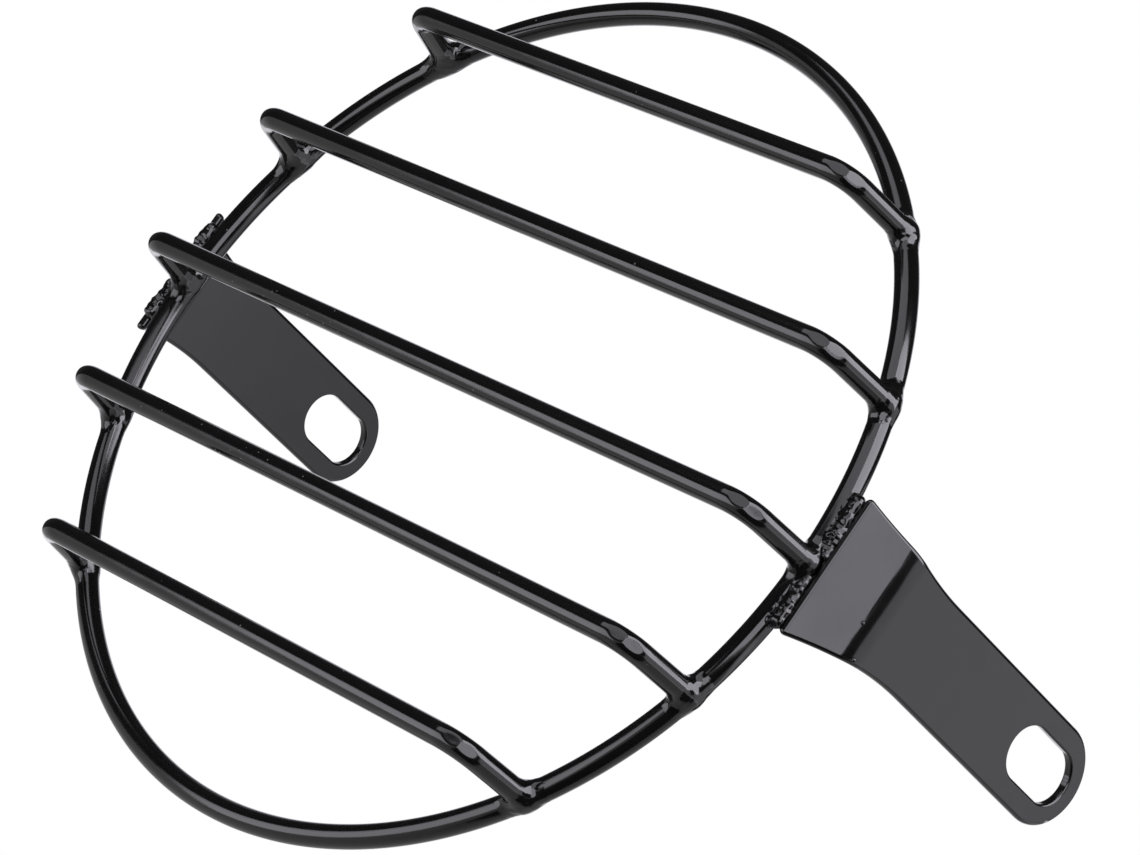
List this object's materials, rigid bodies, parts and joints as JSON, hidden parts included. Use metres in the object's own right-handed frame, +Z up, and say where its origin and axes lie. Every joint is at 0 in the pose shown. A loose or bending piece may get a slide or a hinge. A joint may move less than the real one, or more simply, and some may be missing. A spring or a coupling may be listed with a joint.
{
  "type": "headlight guard",
  "caption": "Round wire headlight guard of welded, gloss black steel bar, with bars bent back onto a hoop and slotted side arms of flat steel.",
  "frame": {"origin": "halfway between the two bolt slots in the arms, on the line through their centres", "axes": "+X to the guard's right seen from the front, along the bolt line; +Y backwards, from the bars to the arms' tips; +Z up, square to the bars"},
  "size_m": [0.2244, 0.1089, 0.197],
  "materials": {
    "rod_paint": "gloss black paint on drawn round bar",
    "plate_paint": "gloss black paint on flat sheet, slightly uneven at the bend",
    "weld_paint": "gloss black paint over rough weld metal"
  },
  "bodies": {
    "root": {"ring": "rod_paint", "bar_top": "rod_paint", "bar_upper": "rod_paint", "bar_middle": "rod_paint", "bar_lower": "rod_paint", "bar_bottom": "rod_paint", "bracket_left": "plate_paint", "bracket_right": "plate_paint", "weld_top_left": "weld_paint", "weld_top_right": "weld_paint", "weld_upper_left": "weld_paint", "weld_upper_right": "weld_paint", "weld_middle_left": "weld_paint", "weld_middle_right": "weld_paint", "weld_lower_left": "weld_paint", "weld_lower_right": "weld_paint", "weld_bottom_left": "weld_paint", "weld_bottom_right": "weld_paint", "weld_bracket_left_upper": "weld_paint", "weld_bracket_left_lower": "weld_paint", "weld_bracket_right_upper": "weld_paint", "weld_bracket_right_lower": "weld_paint"}
  },
  "joints": []
}
